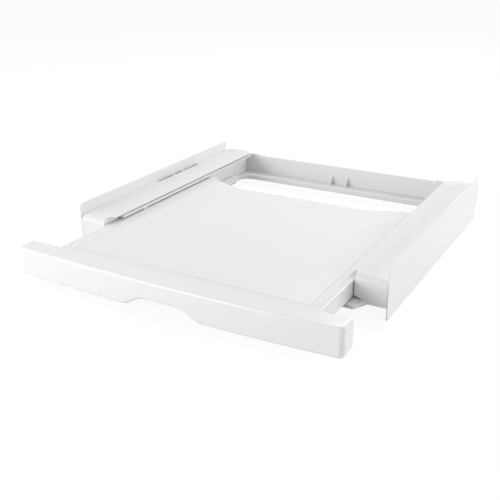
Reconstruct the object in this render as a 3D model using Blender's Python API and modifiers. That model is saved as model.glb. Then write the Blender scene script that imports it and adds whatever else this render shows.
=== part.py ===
"""Washer and dryer stacking kit with a pull-out shelf, modelled in metres.

X runs across the kit, Y runs from the front to the back and Z runs up. The kit stands on the lower edges of its
two side panels, which lie in the plane Z = 0, and its whole outline is centred on X = 0 and Y = 0. The shelf is
drawn part of the way out, as it is shown in use.
"""

import math

import bmesh
import bpy
from mathutils import Matrix, Vector

# Main sizes of the kit
OVERALL_WIDTH = 0.600
FRAME_DEPTH = 0.532
PANEL_HEIGHT = 0.0885
PANEL_THICKNESS = 0.002
PANEL_CORNER_RADIUS = 0.010
PANEL_REAR_MARGIN = 0.015
UPSTAND_HEIGHT = 0.021

# Fits between pieces
SEAT_GAP = 0.0003
CUT_OVERRUN = 0.001
WALL = 0.003

# Side beams: ledge, hollow box, lip over the shelf and foot rail under it
BEAM_HEIGHT = 0.047
BEAM_NOSE_RADIUS = 0.012
BEAM_OUTER_WALL_INSET = 0.0107
BEAM_WIDTH = 0.055
LIP_OVERHANG = 0.013
LIP_THICKNESS = 0.0012
LIP_ROOT_MARGIN = 0.0005
LIP_SWEEP = 0.009
LIP_FRONT_RADIUS = 0.006
LIP_REAR_MARGIN = 0.008
BEAM_RIB_THICKNESS = 0.0025
BEAM_RIB_DEPTH_SHARES = (0.25, 0.5, 0.75)
FOOT_RAIL_DROP = 0.045
FOOT_RAIL_THICKNESS = 0.0095
FOOT_RAIL_INWARD = 0.009
FOOT_RAIL_OUTWARD = 0.017
TONGUE_STEP = 0.0035
TONGUE_THICKNESS = 0.006
TONGUE_REACH = 0.0253
TONGUE_INWARD = 0.021
TONGUE_OUTWARD = 0.0217
TONGUE_FRONT_OUTWARD = 0.0097
TONGUE_SWEEP = 0.0241
TONGUE_LENGTH = 0.022
TONGUE_RAIL_LAP = 0.004
TONGUE_RADIUS = 0.004
NOSE_RELIEF_WIDTH = 0.022
NOSE_RELIEF_HEIGHT = 0.011
NOSE_RELIEF_BEND_SHARES = (0.5, 0.62)
NOSE_RELIEF_DEPTH = 0.009
NOSE_BLOCK_SIDE_WALL = 0.004
NOSE_BLOCK_TOP_WALL = 0.005
NOSE_BLOCK_BACK_WALL = 0.009

# Strap slots in the ledge, beside the upstand
SLOT_WIDTH = 0.006
SLOT_EDGE = 0.0012
SLOT_STARTS = (0.235, 0.294, 0.329)
SLOT_LENGTHS = (0.053, 0.029, 0.054)

# Rear crossbar
CROSSBAR_WALL = 0.0035
CROSSBAR_TOP_DROP = 0.0055
CROSSBAR_WALL_SETBACK = 0.0030
CROSSBAR_FLANGE_WIDTH = 0.0325
CROSSBAR_CORNER_REACH = 0.023
CROSSBAR_LUG_WIDTH = 0.0295
CROSSBAR_LUG_RISE = 0.0025
CROSSBAR_LUG_INSET = 0.0047
SCREW_BLOCK_WIDTH = 0.010
SCREW_BLOCK_ROOF = 0.001
SCREW_BLOCK_END_WALL = 0.008
SCREW_TIP_CLEARANCE = 0.0025
GUSSET_THICKNESS = 0.002
GUSSET_DEPTH = 0.0205
GUSSET_HEIGHT = 0.020
GUSSET_PLACE_SHARES = (-0.096, 0.056)

# Guides and glides that the shelf runs in
GUIDE_HEIGHT = 0.0054
GUIDE_FRONT_SETBACK = 0.042
GUIDE_EDGE_INSET = 0.0005
STOP_SETBACK = 0.105
STOP_LENGTH = 0.010
STOP_WIDTH = 0.007
GLIDE_THICKNESS = 0.0052
GLIDE_WIDTH = 0.008

# Pull-out shelf
DRAWER_PULL = 0.1275
TRAY_SIDE_CLEARANCE = 0.0021
TRAY_REAR_CLEARANCE = 0.015
TRAY_CORNER_RADIUS = 0.006
RIM_WIDTH = 0.0224
RIM_THICKNESS = 0.0025
FRONT_RIM_WIDTH = 0.0215
RECESS_DEPTH = 0.0045
SHELF_LEDGE_WIDTH = 0.012
SHELF_LEDGE_THICKNESS = 0.0025
RECESS_WALL = 0.0025
PANEL_BOARD_THICKNESS = 0.003
BACK_EDGE_SETBACK = 0.0437
BACK_EDGE_FLAT_SHARE = 0.60
HORN_LENGTH = 0.016
TRAY_RIB_WIDTH = 0.012
TRAY_RIB_SHARES = (0.36, 0.68)
TRAY_FOOT_WIDTH = 0.008
TRAY_FOOT_THICKNESS = 0.0025
SHOE_LENGTH = 0.012
SHOE_WIDTH = 0.0055
SHOE_HEIGHT = 0.0019
SHOE_END_MARGIN = 0.002

# Fascia of the shelf
FASCIA_END_MARGIN = 0.004
FASCIA_HEIGHT = 0.0496
FASCIA_DEPTH = 0.0423
FASCIA_BOW = 0.009
FASCIA_TOP_DROP = 0.0046
FASCIA_FRONT_CORNER_RADIUS = 0.009
FASCIA_EDGE_RADIUS = 0.0045
FASCIA_BACK_EDGE_RADIUS = 0.0009
FASCIA_UNDERSIDE_RISE = 0.003
GRIP_TOP_WIDTH = 0.074
GRIP_BOTTOM_WIDTH = 0.137
GRIP_HEIGHT = 0.0175
GRIP_TOP_RADIUS = 0.010
FASCIA_BOSS_DIAMETER = 0.009
FASCIA_BOSS_SHARES = (-0.70, -0.25, 0.25, 0.70)

# Pads under the foot rails
PAD_LENGTH = 0.060
PAD_THICKNESS = 0.0027
PAD_EDGE_MARGIN = 0.0015
PAD_END_MARGIN = 0.010

# Fasteners
SCREW_SHANK_DIAMETER = 0.0030
SCREW_HEAD_DIAMETER = 0.0055
SCREW_HEAD_HEIGHT = 0.0020
SCREW_HOLE_DIAMETER = 0.0037
SCREW_RECESS_DIAMETER = 0.0022
SCREW_RECESS_DEPTH = 0.0012
STANDOFF_DIAMETER = 0.008
STANDOFF_HEIGHT_SHARE = 0.45
PANEL_SCREW_LENGTH = 0.011
PANEL_SCREW_DEPTH_SHARES = (0.10, 0.37, 0.87)
GUIDE_SCREW_LENGTH = 0.011
GUIDE_SCREW_DEPTH_SHARES = (0.13, 0.42, 0.91)
CROSSBAR_SCREW_LENGTH = 0.018
CROSSBAR_SCREW_SPACING = 0.030
CROSSBAR_SCREW_SETBACK = 0.012
FASCIA_SCREW_LENGTH = 0.014

# Facets of round forms, sharp edges and the welding of meshes
MERGE_DISTANCE = 0.00001
FLAT_ANGLE = 0.001
ROUND_STEPS = 12
CORNER_STEPS = 6
BOW_STEPS = 16
SWEEP_STEPS = 8
EDGE_STEPS = 3
SHARP_ANGLE = math.radians(35)

# Places that several pieces share
HALF_WIDTH = OVERALL_WIDTH / 2
FASCIA_REACH = DRAWER_PULL + FASCIA_DEPTH
FRONT_Y = (FASCIA_REACH - FRAME_DEPTH) / 2
BACK_Y = FRONT_Y + FRAME_DEPTH
PANEL_BACK_Y = BACK_Y - PANEL_REAR_MARGIN
LEDGE_Z = PANEL_HEIGHT - UPSTAND_HEIGHT
PANEL_INNER_X = HALF_WIDTH - PANEL_THICKNESS
BEAM_OUTER_X = PANEL_INNER_X - SEAT_GAP
BEAM_INNER_X = HALF_WIDTH - BEAM_WIDTH
LIP_X = BEAM_INNER_X - LIP_OVERHANG
BEAM_WALL_OUTER_X = BEAM_OUTER_X - BEAM_OUTER_WALL_INSET
BEAM_BOTTOM_Z = LEDGE_Z - BEAM_HEIGHT
LEDGE_UNDER_Z = LEDGE_Z - WALL
FOOT_RAIL_TOP_Z = LEDGE_Z - FOOT_RAIL_DROP
FOOT_RAIL_BOTTOM_Z = FOOT_RAIL_TOP_Z - FOOT_RAIL_THICKNESS
FOOT_RAIL_INNER_X = BEAM_INNER_X - FOOT_RAIL_INWARD
FOOT_RAIL_OUTER_X = BEAM_INNER_X + FOOT_RAIL_OUTWARD
CROSSBAR_BACK_Y = BACK_Y - CROSSBAR_WALL_SETBACK
CROSSBAR_WALL_Y = CROSSBAR_BACK_Y - CROSSBAR_WALL
CROSSBAR_FLANGE_Y = CROSSBAR_WALL_Y - CROSSBAR_FLANGE_WIDTH
CROSSBAR_CORNER_Y = CROSSBAR_FLANGE_Y - CROSSBAR_CORNER_REACH
CROSSBAR_END_X = BEAM_INNER_X - SEAT_GAP
FOOT_RAIL_FRONT_Y = FRONT_Y + TONGUE_LENGTH - TONGUE_RAIL_LAP
FOOT_RAIL_BACK_Y = CROSSBAR_CORNER_Y - SEAT_GAP
GLIDE_TOP_Z = FOOT_RAIL_TOP_Z + SEAT_GAP + GLIDE_THICKNESS
GUIDE_TOP_Z = LEDGE_UNDER_Z - SEAT_GAP
GUIDE_BOTTOM_Z = GUIDE_TOP_Z - GUIDE_HEIGHT
TRAY_BOTTOM_Z = GLIDE_TOP_Z + SEAT_GAP
TRAY_TOP_Z = GUIDE_BOTTOM_Z - SHOE_HEIGHT - 2 * SEAT_GAP
TRAY_FRONT_Y = FRONT_Y - DRAWER_PULL
TRAY_BACK_Y = CROSSBAR_FLANGE_Y - TRAY_REAR_CLEARANCE - DRAWER_PULL
TRAY_SIDE_X = BEAM_INNER_X - TRAY_SIDE_CLEARANCE
RECESS_X = TRAY_SIDE_X - RIM_WIDTH
RECESS_FRONT_Y = TRAY_FRONT_Y + FRONT_RIM_WIDTH
RECESS_FLOOR_Z = TRAY_TOP_Z - RECESS_DEPTH
BACK_EDGE_Y = TRAY_BACK_Y - BACK_EDGE_SETBACK
HORN_Y = TRAY_BACK_Y - HORN_LENGTH
GUIDE_INNER_X = LIP_X + GUIDE_EDGE_INSET
GUIDE_OUTER_X = BEAM_INNER_X - SEAT_GAP
GUIDE_FRONT_Y = FRONT_Y + GUIDE_FRONT_SETBACK
GUIDE_BACK_Y = CROSSBAR_WALL_Y - SEAT_GAP
FASCIA_BACK_Y = TRAY_FRONT_Y - SEAT_GAP
FASCIA_FRONT_Y = FRONT_Y - FASCIA_REACH
FASCIA_TOP_Z = LEDGE_Z - FASCIA_TOP_DROP
FASCIA_BOTTOM_Z = FASCIA_TOP_Z - FASCIA_HEIGHT
FASCIA_HALF_WIDTH = HALF_WIDTH - FASCIA_END_MARGIN
FASCIA_SCREW_Z = (TRAY_BOTTOM_Z + RECESS_FLOOR_Z) / 2
STANDOFF_Z = BEAM_BOTTOM_Z + BEAM_HEIGHT * STANDOFF_HEIGHT_SHARE
CROSSBAR_SCREW_X = BEAM_INNER_X + WALL + SCREW_BLOCK_WIDTH / 2
CROSSBAR_TAB_TOP_Z = BEAM_BOTTOM_Z - SEAT_GAP
CROSSBAR_HOLE_TOP_Z = FOOT_RAIL_BOTTOM_Z + CROSSBAR_SCREW_LENGTH + SCREW_TIP_CLEARANCE

# Colours, each as red, green, blue, with roughness and metallic value
WHITE_STEEL = ("white_powder_coated_steel", (0.87, 0.87, 0.87), 0.35, 0.0)
WHITE_MOULDING = ("white_moulded_plastic", (0.84, 0.84, 0.84), 0.30, 0.0)
WHITE_GLOSS = ("white_gloss_plastic", (0.88, 0.88, 0.88), 0.12, 0.0)
WHITE_BOARD = ("white_shelf_board", (0.83, 0.84, 0.84), 0.40, 0.0)
GLIDE_PLASTIC = ("natural_glide_plastic", (0.78, 0.78, 0.76), 0.45, 0.0)
ZINC = ("zinc_plated_steel", (0.62, 0.63, 0.64), 0.35, 1.0)
GREY_FOAM = ("grey_foam_rubber", (0.48, 0.48, 0.47), 0.90, 0.0)


def clear_scene():
    """Removes every object, so the model starts from an empty scene."""
    for item in list(bpy.data.objects):
        bpy.data.objects.remove(item, do_unlink=True)


def make_collection(name):
    """A new collection linked to the scene."""
    collection = bpy.data.collections.new(name)
    bpy.context.scene.collection.children.link(collection)
    return collection


def make_material(spec):
    """One Principled material for a colour, roughness and metallic value; a repeated spec shares it."""
    name, colour, roughness, metallic = spec
    material = bpy.data.materials.get(name)
    if material is None:
        material = bpy.data.materials.new(name)
        material.use_nodes = True
        shader = material.node_tree.nodes["Principled BSDF"]
        shader.inputs["Base Color"].default_value = (*colour, 1.0)
        shader.inputs["Roughness"].default_value = roughness
        shader.inputs["Metallic"].default_value = metallic
    return material


def filleted(corners):
    """Points of a closed outline given as (a, b, radius), with arcs at the corners that have a radius."""
    points = []
    count = len(corners)
    for index, (a, b, radius) in enumerate(corners):
        here = Vector((a, b))
        if radius == 0:
            points.append((a, b))
            continue
        before = (Vector(corners[index - 1][:2]) - here).normalized()
        after = (Vector(corners[(index + 1) % count][:2]) - here).normalized()
        half = before.angle(after) / 2
        centre = here + (before + after).normalized() * (radius / math.sin(half))
        start = here + before * (radius / math.tan(half)) - centre
        end = here + after * (radius / math.tan(half)) - centre
        first = math.atan2(start.y, start.x)
        turn = math.remainder(math.atan2(end.y, end.x) - first, math.tau)
        for step in range(CORNER_STEPS + 1):
            angle = first + turn * step / CORNER_STEPS
            points.append((centre.x + radius * math.cos(angle), centre.y + radius * math.sin(angle)))
    return points


def mesh_of(item):
    """The evaluated mesh of an object, in world space, as new data; the object is removed."""
    bpy.context.view_layer.update()
    evaluated = item.evaluated_get(bpy.context.evaluated_depsgraph_get())
    mesh = bpy.data.meshes.new_from_object(evaluated)
    mesh.transform(evaluated.matrix_world)
    bpy.data.objects.remove(item, do_unlink=True)
    return mesh


def tidy_mesh(mesh):
    """Welds the caps of a mesh, joins its coplanar faces and points all faces outwards."""
    work = bmesh.new()
    work.from_mesh(mesh)
    bmesh.ops.remove_doubles(work, verts=work.verts, dist=MERGE_DISTANCE)
    bmesh.ops.dissolve_limit(work, angle_limit=FLAT_ANGLE, verts=work.verts, edges=work.edges)
    bmesh.ops.recalc_face_normals(work, faces=work.faces)
    work.to_mesh(mesh)
    work.free()
    return mesh


def prism(outline, axis, low, high):
    """A solid from a flat outline, drawn out from low to high along an axis.

    The outline's pairs are (X, Y) for axis Z, (Y, Z) for axis X and (X, Z) for axis Y.
    """
    curve = bpy.data.curves.new("outline", "CURVE")
    curve.dimensions = "2D"
    curve.fill_mode = "BOTH"
    curve.extrude = (high - low) / 2
    spline = curve.splines.new("POLY")
    spline.points.add(len(outline) - 1)
    for point, (a, b) in zip(spline.points, outline):
        point.co = (b, a, 0, 1) if axis == "Y" else (a, b, 0, 1)
    spline.use_cyclic_u = True
    item = bpy.data.objects.new("outline", curve)
    bpy.context.scene.collection.objects.link(item)
    middle = (low + high) / 2
    columns = {
        "X": ((0, 0, 1, middle), (1, 0, 0, 0), (0, 1, 0, 0)),
        "Y": ((0, 1, 0, 0), (0, 0, 1, middle), (1, 0, 0, 0)),
        "Z": ((1, 0, 0, 0), (0, 1, 0, 0), (0, 0, 1, middle)),
    }[axis]
    item.matrix_world = Matrix((*columns, (0, 0, 0, 1)))
    return tidy_mesh(mesh_of(item))


def block(low, high):
    """A box between two corners."""
    work = bmesh.new()
    bmesh.ops.create_cube(work, size=1)
    size = Vector(high) - Vector(low)
    centre = (Vector(high) + Vector(low)) / 2
    work.transform(Matrix.Translation(centre) @ Matrix.Diagonal((*size, 1)))
    mesh = bpy.data.meshes.new("block")
    work.to_mesh(mesh)
    work.free()
    return mesh


def side_block(side, x_range, y_range, z_range):
    """A box on one side of the kit, with X ranges measured outwards from the middle."""
    xs = sorted((side * x_range[0], side * x_range[1]))
    return block((xs[0], y_range[0], z_range[0]), (xs[1], y_range[1], z_range[1]))


def side_prism(side, corners, low, high):
    """A plate with a plan outline on one side of the kit, with X measured outwards from the middle."""
    return prism([(side * x, y) for x, y in filleted(corners)], "Z", low, high)


def rod(start, direction, length, diameter):
    """A round bar from a point, along a direction."""
    work = bmesh.new()
    bmesh.ops.create_cone(
        work, cap_ends=True, segments=ROUND_STEPS, radius1=diameter / 2, radius2=diameter / 2, depth=length
    )
    direction = Vector(direction)
    turn = direction.to_track_quat("Z", "Y").to_matrix().to_4x4()
    work.transform(Matrix.Translation(Vector(start) + direction * length / 2) @ turn)
    mesh = bpy.data.meshes.new("rod")
    work.to_mesh(mesh)
    work.free()
    return mesh


def turned(profile, closed):
    """A solid of revolution about Z from (radius, height) points that run down its outer side."""
    mesh = bpy.data.meshes.new("turned")
    edges = [(index, index + 1) for index in range(len(profile) - 1)]
    if closed:
        edges.append((len(profile) - 1, 0))
    mesh.from_pydata([(radius, 0, height) for radius, height in profile], edges, [])
    item = bpy.data.objects.new("turned", mesh)
    bpy.context.scene.collection.objects.link(item)
    screw = item.modifiers.new("Turn", "SCREW")
    screw.steps = ROUND_STEPS
    screw.render_steps = ROUND_STEPS
    screw.use_merge_vertices = True
    screw.merge_threshold = MERGE_DISTANCE
    return tidy_mesh(mesh_of(item))


class Kit:
    """The collections, parents and pieces of the model."""

    def __init__(self):
        self.parts = make_collection("washer_dryer_stacking_kit")
        self.cutters = make_collection("cutters")
        self.frame = self.empty("frame_origin", (0, FRONT_Y, 0))
        self.drawer = self.empty("drawer_slide_origin", (0, TRAY_FRONT_Y, TRAY_BOTTOM_Z))

    def empty(self, name, place):
        item = bpy.data.objects.new(name, None)
        item.location = place
        self.parts.objects.link(item)
        return item

    def piece(self, name, mesh, material, parent, cuts=(), joins=()):
        """A named piece with its origin at the middle of its mesh, its cuts and its joined shapes."""
        corners = [vertex.co for vertex in mesh.vertices]
        low = Vector(min(c[k] for c in corners) for k in range(3))
        high = Vector(max(c[k] for c in corners) for k in range(3))
        centre = (low + high) / 2
        mesh.transform(Matrix.Translation(-centre))
        mesh.name = name
        mesh.materials.clear()
        mesh.materials.append(make_material(material))
        mesh.shade_smooth()
        mesh.set_sharp_from_angle(angle=SHARP_ANGLE)
        item = bpy.data.objects.new(name, mesh)
        item.parent = parent
        item.location = centre - parent.location
        self.parts.objects.link(item)
        for shape in joins:
            self.combine(item, shape, "UNION")
        for shape in cuts:
            self.combine(item, shape, "DIFFERENCE")
        return item

    def fasteners(self, names, mesh, parent, points, direction):
        """Copies of one small turned part, each an object on the shared mesh, with Z along a direction."""
        mesh.name = names[0]
        mesh.materials.clear()
        mesh.materials.append(make_material(ZINC))
        mesh.shade_smooth()
        mesh.set_sharp_from_angle(angle=SHARP_ANGLE)
        for name, point in zip(names, points):
            item = bpy.data.objects.new(name, mesh)
            item.parent = parent
            item.location = Vector(point) - parent.location
            item.rotation_mode = "QUATERNION"
            item.rotation_quaternion = Vector(direction).to_track_quat("Z", "Y")
            self.parts.objects.link(item)

    def combine(self, item, shape, operation):
        """Joins a shape to a piece, or cuts it out, with a Boolean that stays on the piece."""
        tool = bpy.data.objects.new(f"{item.name}_{operation.lower()}", shape)
        tool.hide_render = True
        tool.display_type = "WIRE"
        self.cutters.objects.link(tool)
        boolean = item.modifiers.new(operation.title(), "BOOLEAN")
        boolean.operation = operation
        boolean.solver = "EXACT"
        boolean.object = tool
        return boolean


def side_panel(kit, side, label):
    """Flat steel side: it covers the beam, rises beside the dryer and hangs beside the washer."""
    outline = filleted(
        [
            (FRONT_Y, 0, 0),
            (PANEL_BACK_Y, 0, 0),
            (PANEL_BACK_Y, PANEL_HEIGHT, 0),
            (FRONT_Y, PANEL_HEIGHT, PANEL_CORNER_RADIUS),
        ]
    )
    low, high = sorted((side * PANEL_INNER_X, side * HALF_WIDTH))
    kit.piece(f"side_panel_{label}", prism(outline, "X", low, high), WHITE_STEEL, kit.frame)


def beam_outline(inset, bottom):
    """Side view of the beam's box, with its rounded nose, drawn in by an inset from all but its bottom."""
    return filleted(
        [
            (FRONT_Y + inset, bottom, 0),
            (BACK_Y - inset, bottom, 0),
            (BACK_Y - inset, LEDGE_Z - inset, 0),
            (FRONT_Y + inset, LEDGE_Z - inset, BEAM_NOSE_RADIUS - inset),
        ]
    )


def beam_cells(side):
    """The hollows between the ribs of a beam, open at the bottom."""
    ribs = [FRONT_Y + FRAME_DEPTH * share for share in BEAM_RIB_DEPTH_SHARES]
    starts = [FRONT_Y + WALL] + [rib + BEAM_RIB_THICKNESS / 2 for rib in ribs]
    ends = [rib - BEAM_RIB_THICKNESS / 2 for rib in ribs] + [BACK_Y - WALL]
    bottom = BEAM_BOTTOM_Z - CUT_OVERRUN
    inner_x = BEAM_INNER_X + WALL
    outer_x = BEAM_WALL_OUTER_X - WALL
    cells = []
    for index, (start, end) in enumerate(zip(starts, ends)):
        radius = BEAM_NOSE_RADIUS - WALL if index == 0 else 0
        outline = filleted(
            [(start, bottom, 0), (end, bottom, 0), (end, LEDGE_UNDER_Z, 0), (start, LEDGE_UNDER_Z, radius)]
        )
        low, high = sorted((side * inner_x, side * outer_x))
        cells.append(prism(outline, "X", low, high))
    low, high = sorted((side * BEAM_WALL_OUTER_X, side * (BEAM_OUTER_X + CUT_OVERRUN)))
    cells.append(prism(beam_outline(WALL, bottom), "X", low, high))
    return cells


def foot_rail(side):
    """The rail that the shelf runs on."""
    corners = [
        (FOOT_RAIL_INNER_X, FOOT_RAIL_FRONT_Y, 0),
        (FOOT_RAIL_OUTER_X, FOOT_RAIL_FRONT_Y, 0),
        (FOOT_RAIL_OUTER_X, FOOT_RAIL_BACK_Y, 0),
        (FOOT_RAIL_INNER_X, FOOT_RAIL_BACK_Y, 0),
    ]
    return side_prism(side, corners, FOOT_RAIL_BOTTOM_Z, FOOT_RAIL_TOP_Z)


def foot_tongue(side):
    """The tongue that stands a step above the foot rail and reaches forward, swept on its outer side."""
    front = FRONT_Y - TONGUE_REACH
    inner = BEAM_INNER_X - TONGUE_INWARD
    outer = BEAM_INNER_X + TONGUE_OUTWARD
    back = FRONT_Y + TONGUE_LENGTH
    corners = [
        (inner, front, TONGUE_RADIUS),
        (BEAM_INNER_X + TONGUE_FRONT_OUTWARD, front, TONGUE_RADIUS),
        (outer, front + TONGUE_SWEEP, TONGUE_RADIUS),
        (outer, back, 0),
        (inner, back, TONGUE_RADIUS),
    ]
    top = FOOT_RAIL_TOP_Z + TONGUE_STEP
    return side_prism(side, corners, top - TONGUE_THICKNESS, top)


def beam_lip(side):
    """The inner edge of the ledge, which overhangs the rim of the shelf and sweeps out to the nose in front."""
    root = BEAM_INNER_X + WALL
    front = FRONT_Y + BEAM_NOSE_RADIUS + LIP_ROOT_MARGIN
    back = BACK_Y - LIP_REAR_MARGIN
    corners = [
        (LIP_X, front + LIP_SWEEP, LIP_FRONT_RADIUS),
        (BEAM_INNER_X, front, 0),
        (root, front, 0),
        (root, back, 0),
        (LIP_X, back, LIP_OVERHANG),
    ]
    return side_prism(side, corners, LEDGE_Z - LIP_THICKNESS, LEDGE_Z)


def strap_slots(side):
    """Cutters of the three slots beside the upstand."""
    outer = BEAM_OUTER_X - SLOT_EDGE
    heights = (LEDGE_UNDER_Z - CUT_OVERRUN, LEDGE_Z + CUT_OVERRUN)
    return [
        side_block(side, (outer - SLOT_WIDTH, outer), (FRONT_Y + start, FRONT_Y + start + length), heights)
        for start, length in zip(SLOT_STARTS, SLOT_LENGTHS)
    ]


def nose_relief(side):
    """Cutter of the swept corner low in the nose, above the tongue."""
    wide_share, high_share = NOSE_RELIEF_BEND_SHARES
    inner = BEAM_INNER_X - CUT_OVERRUN
    outer = BEAM_INNER_X + NOSE_RELIEF_WIDTH
    bottom = BEAM_BOTTOM_Z - CUT_OVERRUN
    corners = [
        (inner, bottom),
        (outer, bottom),
        (outer, BEAM_BOTTOM_Z),
        (BEAM_INNER_X + NOSE_RELIEF_WIDTH * wide_share, BEAM_BOTTOM_Z + NOSE_RELIEF_HEIGHT * high_share),
        (inner, BEAM_BOTTOM_Z + NOSE_RELIEF_HEIGHT),
    ]
    outline = [(side * x, z) for x, z in corners]
    return prism(outline, "Y", FRONT_Y - CUT_OVERRUN, FRONT_Y + NOSE_RELIEF_DEPTH)


def beam_blocks(side):
    """Solid corners inside the box: behind the nose's swept corner, and over the crossbar's screws."""
    root = BEAM_INNER_X + WALL / 2
    nose = side_block(
        side,
        (root, BEAM_INNER_X + NOSE_RELIEF_WIDTH + NOSE_BLOCK_SIDE_WALL),
        (FRONT_Y + WALL / 2, FRONT_Y + NOSE_RELIEF_DEPTH + NOSE_BLOCK_BACK_WALL),
        (BEAM_BOTTOM_Z + CUT_OVERRUN, BEAM_BOTTOM_Z + NOSE_RELIEF_HEIGHT + NOSE_BLOCK_TOP_WALL),
    )
    first_screw_y = crossbar_screw_places()[0]
    screw = side_block(
        side,
        (root, BEAM_INNER_X + WALL + SCREW_BLOCK_WIDTH),
        (first_screw_y - SCREW_BLOCK_END_WALL, BACK_Y - WALL / 2),
        (BEAM_BOTTOM_Z + CUT_OVERRUN, CROSSBAR_HOLE_TOP_Z + SCREW_BLOCK_ROOF),
    )
    return [nose, screw]


def panel_screw_places():
    """Depths of the screws that hold a side panel to its beam."""
    return [FRONT_Y + FRAME_DEPTH * share for share in PANEL_SCREW_DEPTH_SHARES]


def guide_screw_places():
    """Depths of the screws that hold an upper guide to its beam."""
    return [FRONT_Y + FRAME_DEPTH * share for share in GUIDE_SCREW_DEPTH_SHARES]


def crossbar_screw_places():
    """Depths of the screws that hold each end of the crossbar from below."""
    back = CROSSBAR_BACK_Y - CROSSBAR_SCREW_SETBACK
    return [back - CROSSBAR_SCREW_SPACING, back]


def side_beam(kit, side, label):
    """Moulded side beam: a hollow box with a ledge, a lip, a foot rail and three strap slots."""
    low, high = sorted((side * BEAM_INNER_X, side * BEAM_OUTER_X))
    body = prism(beam_outline(0, BEAM_BOTTOM_Z), "X", low, high)
    item = kit.piece(f"side_beam_{label}", body, WHITE_MOULDING, kit.frame, cuts=beam_cells(side))
    for shape in beam_blocks(side):
        kit.combine(item, shape, "UNION")
    kit.combine(item, nose_relief(side), "DIFFERENCE")
    for shape in (foot_rail(side), foot_tongue(side), beam_lip(side)):
        kit.combine(item, shape, "UNION")
    cuts = strap_slots(side)
    outwards = (side, 0, 0)
    for y in panel_screw_places():
        start = (side * (BEAM_WALL_OUTER_X - WALL - CUT_OVERRUN), y, STANDOFF_Z)
        cuts.append(rod(start, outwards, WALL + 2 * CUT_OVERRUN, SCREW_HOLE_DIAMETER))
    inner = side * (BEAM_INNER_X - CUT_OVERRUN)
    guide_z = (GUIDE_TOP_Z + GUIDE_BOTTOM_Z) / 2
    for y in guide_screw_places():
        cuts.append(rod((inner, y, guide_z), outwards, WALL + 2 * CUT_OVERRUN, SCREW_HOLE_DIAMETER))
    for y in crossbar_screw_places():
        under = BEAM_BOTTOM_Z - CUT_OVERRUN
        start = (side * CROSSBAR_SCREW_X, y, under)
        cuts.append(rod(start, (0, 0, 1), CROSSBAR_HOLE_TOP_Z - under, SCREW_HOLE_DIAMETER))
    for cut in cuts:
        kit.combine(item, cut, "DIFFERENCE")


def rear_crossbar(kit):
    """Moulded rear crossbar: a wall on a flange, with tabs under the beams, end lugs and two gussets."""
    top = LEDGE_Z - CROSSBAR_TOP_DROP
    lug_top = top + CROSSBAR_LUG_RISE
    lug_outer = CROSSBAR_END_X - CROSSBAR_LUG_INSET
    lug_inner = lug_outer - CROSSBAR_LUG_WIDTH
    section = [
        (CROSSBAR_CORNER_Y, FOOT_RAIL_BOTTOM_Z),
        (CROSSBAR_BACK_Y, FOOT_RAIL_BOTTOM_Z),
        (CROSSBAR_BACK_Y, lug_top),
        (CROSSBAR_WALL_Y, lug_top),
        (CROSSBAR_WALL_Y, FOOT_RAIL_TOP_Z),
        (CROSSBAR_CORNER_Y, FOOT_RAIL_TOP_Z),
    ]
    body = prism(section, "X", -FOOT_RAIL_OUTER_X, FOOT_RAIL_OUTER_X)
    front = CROSSBAR_CORNER_Y - CUT_OVERRUN
    back = CROSSBAR_BACK_Y + CUT_OVERRUN
    over = lug_top + CUT_OVERRUN
    under = FOOT_RAIL_BOTTOM_Z - CUT_OVERRUN
    corner = FOOT_RAIL_INNER_X
    opening = filleted(
        [
            (-corner, front, 0),
            (corner, front, 0),
            (corner, CROSSBAR_FLANGE_Y, CROSSBAR_CORNER_REACH),
            (-corner, CROSSBAR_FLANGE_Y, CROSSBAR_CORNER_REACH),
        ]
    )
    cuts = [prism(opening, "Z", under, FOOT_RAIL_TOP_Z + CUT_OVERRUN)]
    cuts.append(block((-lug_inner, CROSSBAR_WALL_Y - CUT_OVERRUN, top), (lug_inner, back, over)))
    for side in (-1, 1):
        past_end = FOOT_RAIL_OUTER_X + CUT_OVERRUN
        cuts.append(side_block(side, (lug_outer, past_end), (front, back), (top, over)))
        tab_cut = (CROSSBAR_TAB_TOP_Z, over)
        cuts.append(side_block(side, (CROSSBAR_END_X, past_end), (front, back), tab_cut))
        for y in crossbar_screw_places():
            start = (side * CROSSBAR_SCREW_X, y, under)
            length = CROSSBAR_TAB_TOP_Z - FOOT_RAIL_BOTTOM_Z + 2 * CUT_OVERRUN
            cuts.append(rod(start, (0, 0, 1), length, SCREW_HOLE_DIAMETER))
    gussets = []
    for share in GUSSET_PLACE_SHARES:
        x = CROSSBAR_END_X * share
        outline = [
            (CROSSBAR_WALL_Y - GUSSET_DEPTH, FOOT_RAIL_TOP_Z - CUT_OVERRUN),
            (CROSSBAR_WALL_Y + CUT_OVERRUN, FOOT_RAIL_TOP_Z - CUT_OVERRUN),
            (CROSSBAR_WALL_Y + CUT_OVERRUN, FOOT_RAIL_TOP_Z + GUSSET_HEIGHT),
        ]
        gussets.append(prism(outline, "X", x - GUSSET_THICKNESS / 2, x + GUSSET_THICKNESS / 2))
    kit.piece("rear_crossbar", body, WHITE_MOULDING, kit.frame, cuts=cuts, joins=gussets)


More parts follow.
